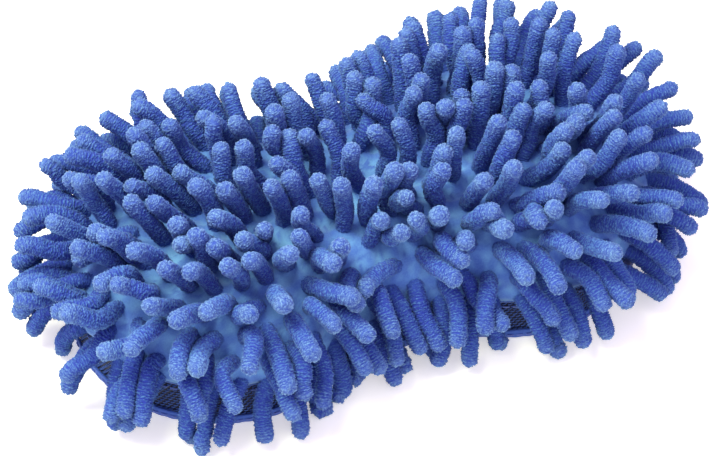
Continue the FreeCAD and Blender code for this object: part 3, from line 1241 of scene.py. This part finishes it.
def yarn_tree():
    """Edges become thin round yarn."""
    tree = Tree("yarn", {
        "Radius": ("NodeSocketFloat", GUSSET_YARN),
        "Sides": ("NodeSocketInt", YARN_SIDES),
        "Material": ("NodeSocketMaterial", None),
    })
    curve = tree.node("GeometryNodeMeshToCurve", None, {0: tree.inputs["Geometry"]})[0]
    ring = tree.circle(tree.inputs["Sides"], tree.inputs["Radius"])
    tube = {"Curve": curve, "Profile Curve": ring, "Fill Caps": True}
    return tree.finish(tree.store("FLOAT", tree.node("GeometryNodeCurveToMesh", None, tube)[0], "yarn", 1.0))


def lay_yarn(ground, lines, radius, yarns, material):
    """Yarn along lines becomes part of the ground's mesh, and its attribute tells the two apart."""
    point_attribute(ground, "yarn", np.zeros(len(ground.data.vertices)))
    net = lines_object("net", lines)
    yarns.run_on(net, Radius=radius, Sides=YARN_SIDES, Material=material)
    bm = bmesh.new()
    bm.from_mesh(ground.data)
    bm.from_mesh(net.data)
    bm.to_mesh(ground.data)
    bm.free()
    bpy.data.objects.remove(net)
    set_material(ground, material)


def slanting_floats():
    """Short lines of yarn in rows round the wall, each a little uneven in height and slant."""
    last = 4 * FLOATS_IN_A_ROW
    points, normals = outline(GUSSET_INSET - LAYER_GAP, last, mouth_gap=True)
    pitch = (PALM_BOTTOM - MESH_TOP) / GUSSET_ROWS
    rng = np.random.default_rng(FLOAT_SEED)
    lines = []
    for row in range(GUSSET_ROWS):
        for k in range(FLOATS_IN_A_ROW):
            start = 4 * k + 2 * (row % 2)
            stop = min(start + 3, last - 1)
            z = MESH_TOP + (row + 0.5 + rng.normal(0, 0.06)) * pitch
            slant = (0.20 + rng.normal(0, 0.05)) * pitch
            middle = (points[start] + points[stop]) / 2 + normals[start] * FLOAT_RISE
            lines.append([(*points[start], z - slant), (*middle, z), (*points[stop], z + slant)])
    return lines


def scrub_mesh_gusset(material, yarns):
    """The upright mesh wall: rows of short slanting floats of yarn over a dark ground."""
    rings = strip_rings(GUSSET_INSET, MESH_TOP, PALM_BOTTOM, GUSSET_THICKNESS, count=220)
    ground = closed_strip("scrub_mesh_gusset", rings)
    lay_yarn(ground, slanting_floats(), GUSSET_YARN, yarns, material)
    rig.ride(ground, "root")
    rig.replaces(ground, "mesh_gusset")
    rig.slot(ground, "mesh")
    cut = (PALM_BOTTOM - MESH_TOP, strip_length(GUSSET_INSET))
    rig.sheet(ground, flat=cut, held="hung", rests_on=["palm_lining"])


def gusset_lining(material):
    """The dark lining inside the mesh wall, puckered most half way up."""
    def wave(points, share):
        return GUSSET_LINING_PUCKER * np.sin(np.arange(len(points)) * 0.7) * math.sin(math.pi * share)

    rings = strip_rings(GUSSET_LINING_INSET, LINING_TOP, PALM_BOTTOM, GUSSET_LINING_THICKNESS,
                        LINING_COLUMNS, wave)
    wall = closed_strip("knit_gusset_lining", rings)
    set_material(wall, material)
    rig.ride(wall, "root")
    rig.replaces(wall, "gusset_lining")
    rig.slot(wall, "backing")
    cut = (PALM_BOTTOM - LINING_TOP, strip_length(GUSSET_LINING_INSET))
    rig.sheet(wall, flat=cut, held="hung", rests_on=["palm_lining"])


def zigzag_rows():
    """Rows of zigzag yarn along the sole, broken where they would leave its outline."""
    half_rows = int(LOBE_RADIUS / SOLE_ROW_PITCH)
    half_steps = int((LOBE_OFFSET + LOBE_RADIUS) / SOLE_STEP)
    xs = np.arange(-half_steps, half_steps + 1) * SOLE_STEP
    zigzag = np.where(np.arange(len(xs)) % 2 == 0, SOLE_ZIGZAG, -SOLE_ZIGZAG)
    runs = []
    for row in range(-half_rows, half_rows + 1):
        ys = row * SOLE_ROW_PITCH + zigzag * (1 if row % 2 else -1)
        run = []
        for x, y, inside in zip(xs, ys, plan_distance(xs, ys) < -SOLE_MARGIN):
            if inside:
                run.append((x, y, SOLE_YARN_HEIGHT))
            else:
                runs.append(run)
                run = []
        runs.append(run)
    return [run for run in runs if len(run) > 2]


def scrub_mesh_back(material, yarns):
    """The mesh sole: rows of zigzag yarn along the mitt, over a dark ground."""
    under = flat_rings(SOLE_INSET, SOLE_BOTTOM, steps=10, count=200, inwards=False)
    over = flat_rings(SOLE_INSET, MESH_TOP, steps=10, count=200, inwards=True)
    ground = closed_pile("scrub_mesh_back", under + over)
    lay_yarn(ground, zigzag_rows(), SOLE_YARN, yarns, material)
    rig.ride(ground, "root")
    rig.replaces(ground, "mesh_back")
    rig.slot(ground, "mesh")
    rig.sheet(ground, **plan_cut(SOLE_INSET), held="stretched", rests_on=["mesh_gusset"])


def edge_tape(material):
    """The binding tape round the gusset's lower edge, puckered by its stitches."""
    def wave(points, share):
        pucker = TAPE_PUCKER * np.sin(np.arange(len(points)) * 0.9) * (1 - share)
        return TAPE_PROUD + TAPE_BULGE * math.sin(math.pi * share) + pucker

    rings = strip_rings(-LAYER_GAP, 0.0, TAPE_TOP, TAPE_THICKNESS, count=700, wave=wave)
    piece = closed_strip("woven_edge_tape", rings)
    set_material(piece, material)
    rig.ride(piece, "root")
    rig.replaces(piece, "edge_tape")
    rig.slot(piece, "tape")


def mouth_legs(w, h):
    """Straights and corners in turn round a rounded rectangle of half sizes w and h, from mid foot."""
    bend = math.pi / 2 * MOUTH_CORNER
    wide, high = 2 * (w - MOUTH_CORNER), 2 * (h - MOUTH_CORNER)
    return [wide / 2, bend, high, bend, wide, bend, high, bend, wide / 2]


def mouth_place(s, h, legs):
    """Place and outward direction at distance s along the legs round the mouth."""
    y, z, heading = 0.0, -h, 0.0
    for k, leg in enumerate(legs):
        here = min(s, leg)
        if k % 2:
            turn = here / MOUTH_CORNER
            y += MOUTH_CORNER * (math.sin(heading + turn) - math.sin(heading))
            z += MOUTH_CORNER * (math.cos(heading) - math.cos(heading + turn))
            heading += turn
        else:
            y += math.cos(heading) * here
            z += math.sin(heading) * here
        s -= here
    return y, z, math.sin(heading), -math.cos(heading)


def squared(value):
    """A sine or cosine made flatter at its ends, which squares a round section."""
    return math.copysign(abs(value) ** 0.7, value)


def sleeve(name, node, slot, material, front, depth, wall, ripple):
    """A soft pleated sleeve round the inside of the pocket's mouth. Returns it and its length round."""
    box_low, box_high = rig.box(node)
    half_width, low, high = box_high.y, box_low.z, box_high.z
    w, h = half_width - wall / 2, (high - low) / 2 - wall / 2
    legs = mouth_legs(w, h)
    total = sum(legs)
    around, sides = 420, 20
    verts = []
    for i in range(around):
        y, z, ny, nz = mouth_place(total * i / around, h, legs)
        pleat = ripple * math.sin(2 * math.pi * MOUTH_PLEATS * i / around)
        for j in range(sides):
            angle = 2 * math.pi * j / sides
            out = (wall / 2 - SLEEVE_SLACK + pleat * 0.5) * squared(math.sin(angle))
            along = depth / 2 * squared(math.cos(angle))
            yy = min(max(y + ny * out, -half_width), half_width)
            edge = LOBE_OFFSET + math.sqrt(LOBE_RADIUS**2 - yy**2)
            verts.append((edge - front - depth / 2 + along, yy, (low + high) / 2 + z + nz * out))
    piece = mesh_object(name, verts, grid_faces(around, sides, closed=True))
    merge_doubles(piece, SAME_PLACE)
    set_material(piece, material)
    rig.ride(piece, "root")
    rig.replaces(piece, node)
    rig.slot(piece, slot)
    return piece, total


def stitch_row(name, node, material, yarns, proud, stitches):
    """A row of single stitches round the outside, open at the mouth."""
    low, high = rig.box(node)
    z = (low.z + high.z) / 2
    points, normals = outline(-proud, stitches * 3, mouth_gap=True)
    lines = []
    for a in range(0, 3 * stitches, 3):
        places = [points[a], points[a + 1] + normals[a + 1] * STITCH_RISE, points[a + 2]]
        lines.append([(x, y, z) for x, y in places])
    piece = lines_object(name, lines)
    yarns.run_on(piece, Radius=STITCH_YARN, Sides=6, Material=material)
    piece.data.shade_smooth()
    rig.ride(piece, "root")
    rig.replaces(piece, node)
    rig.slot(piece, "thread")


def bar_tacks(material, yarns):
    """Dense zigzag tacks that close the corners of the mouth."""
    low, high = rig.box("mouth_bartacks")
    lines = []
    for side in (-1, 1):
        line = []
        for k in range(2 * TACK_TURNS + 1):
            z = low.z + (high.z - low.z) * k / (2 * TACK_TURNS)
            y = side * (MOUTH_HALF_WIDTH + (TACK_HALF_WIDTH if k % 2 else -TACK_HALF_WIDTH))
            reach = math.sqrt((LOBE_RADIUS + TACK_PROUD) ** 2 - y**2)
            line.append((LOBE_OFFSET + reach, y, z))
        lines.append(line)
    piece = lines_object("mouth_bar_tacks", lines)
    yarns.run_on(piece, Radius=TACK_YARN, Sides=6, Material=material)
    piece.data.shade_smooth()
    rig.ride(piece, "root")
    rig.replaces(piece, "mouth_bartacks")
    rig.slot(piece, "thread")


# -------- stage


def place_camera(azimuth, elevation, distance, lens, target):
    a, e = math.radians(azimuth), math.radians(elevation)
    back = Vector((math.sin(a) * math.cos(e), -math.cos(a) * math.cos(e), math.sin(e)))
    data = bpy.data.cameras.new("camera")
    data.lens = lens
    data.clip_start, data.clip_end = 0.01, 20.0
    camera = bpy.data.objects.new("camera", data)
    bpy.context.scene.collection.objects.link(camera)
    camera.location = Vector(target) + back * distance
    camera.rotation_euler = (-back).to_track_quat("-Z", "Y").to_euler()
    bpy.context.scene.camera = camera


def area_light(name, location, size, energy, colour):
    """A soft square light that looks at the middle of the mitt."""
    data = bpy.data.lights.new(name, "AREA")
    data.shape, data.size, data.energy, data.color = "SQUARE", size, energy, colour
    light = bpy.data.objects.new(name, data)
    bpy.context.scene.collection.objects.link(light)
    light.location = location
    light.rotation_euler = (LIT_PLACE - Vector(location)).to_track_quat("-Z", "Y").to_euler()


def studio():
    """Pale floor, soft light from above and behind on the left, and the camera."""
    half = 3.0
    corners = [(-half, -half, 0), (half, -half, 0), (half, half, 0), (-half, half, 0)]
    floor = mesh_object("floor", corners, [(0, 1, 2, 3)])
    f = Finish("pale_floor", Roughness=0.9, Specular_IOR_Level=0.0,
               Emission_Color=(1.0, 1.0, 1.0, 1.0), Emission_Strength=0.42)
    set_material(floor, f.feed(Base_Color=f.mix(f.noise(20.0), FLOOR_DARK, FLOOR_LIGHT)))
    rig.stage(floor)
    world = bpy.data.worlds.new("studio")
    world.use_nodes = True
    background = world.node_tree.nodes["Background"]
    background.inputs["Color"].default_value = SKY
    background.inputs["Strength"].default_value = 0.84
    bpy.context.scene.world = world
    area_light("key", (-0.50, 0.10, 1.2), size=0.7, energy=27.0, colour=(0.98, 1.0, 0.80))
    area_light("fill", (-0.1, -1.0, 1.0), size=1.3, energy=5.0, colour=(1.0, 0.97, 1.0))
    place_camera(azimuth=-21.7, elevation=47.0, distance=1.35, lens=169.0, target=(-0.0006, 0.0, 0.024))
    bpy.context.scene.view_settings.view_transform = "Standard"


# -------- the mitt


def main():
    """The whole mitt on its stage."""
    studio()
    roots = noodle_pieces(chenille_finish())
    noodle_cloth(roots, fleece_finish())
    foam_pad(foam_finish())
    tricot = knit_finish("tricot", TRICOT_GROUND, TRICOT_YARN)
    backing = knit_finish("dark_backing", BACKING_GROUND, BACKING_YARN)
    lining("tricot_palm_lining", "palm_lining", "lining", tricot, PALM_LINING_INSET, PALM_BOTTOM, PALM_TOP,
           ripple=0.1 * MM, held="stretched", rests_on="foam_core")
    lining("knit_back_lining", "back_lining", "backing", backing, BACK_LINING_INSET, MESH_TOP, LINING_TOP,
           ripple=0.05 * MM, held="laid", rests_on="mesh_back")
    gusset_lining(backing)
    yarns = yarn_tree()
    mesh = mesh_finish()
    scrub_mesh_gusset(mesh, yarns)
    scrub_mesh_back(mesh, yarns)
    tape = tape_finish()
    edge_tape(tape)
    sleeve("bound_mouth_edge", "mouth_binding", "tape", tape, 0.0, BINDING_DEPTH, BINDING_WALL,
           ripple=0.5 * MM)
    band, around = sleeve("elastic_mouth_band", "mouth_elastic", "elastic", elastic_finish(),
                          BINDING_DEPTH + LAYER_GAP, ELASTIC_DEPTH, ELASTIC_WALL, ripple=0.35 * MM)
    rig.sheet(band, flat=(ELASTIC_DEPTH, around), held="gathered", rests_on=["mouth_binding"])
    thread = thread_finish()
    stitch_row("gusset_stitches", "gusset_thread", thread, yarns, GUSSET_THREAD_PROUD, stitches=130)
    stitch_row("tape_stitches", "tape_thread", thread, yarns, TAPE_THREAD_PROUD, stitches=140)
    bar_tacks(thread, yarns)


main()
visual_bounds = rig.bounds()
with open("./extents.json", "w") as f:
    json.dump({"cad": [list(c) for c in cad_bounds], "visual": [list(c) for c in visual_bounds]}, f)
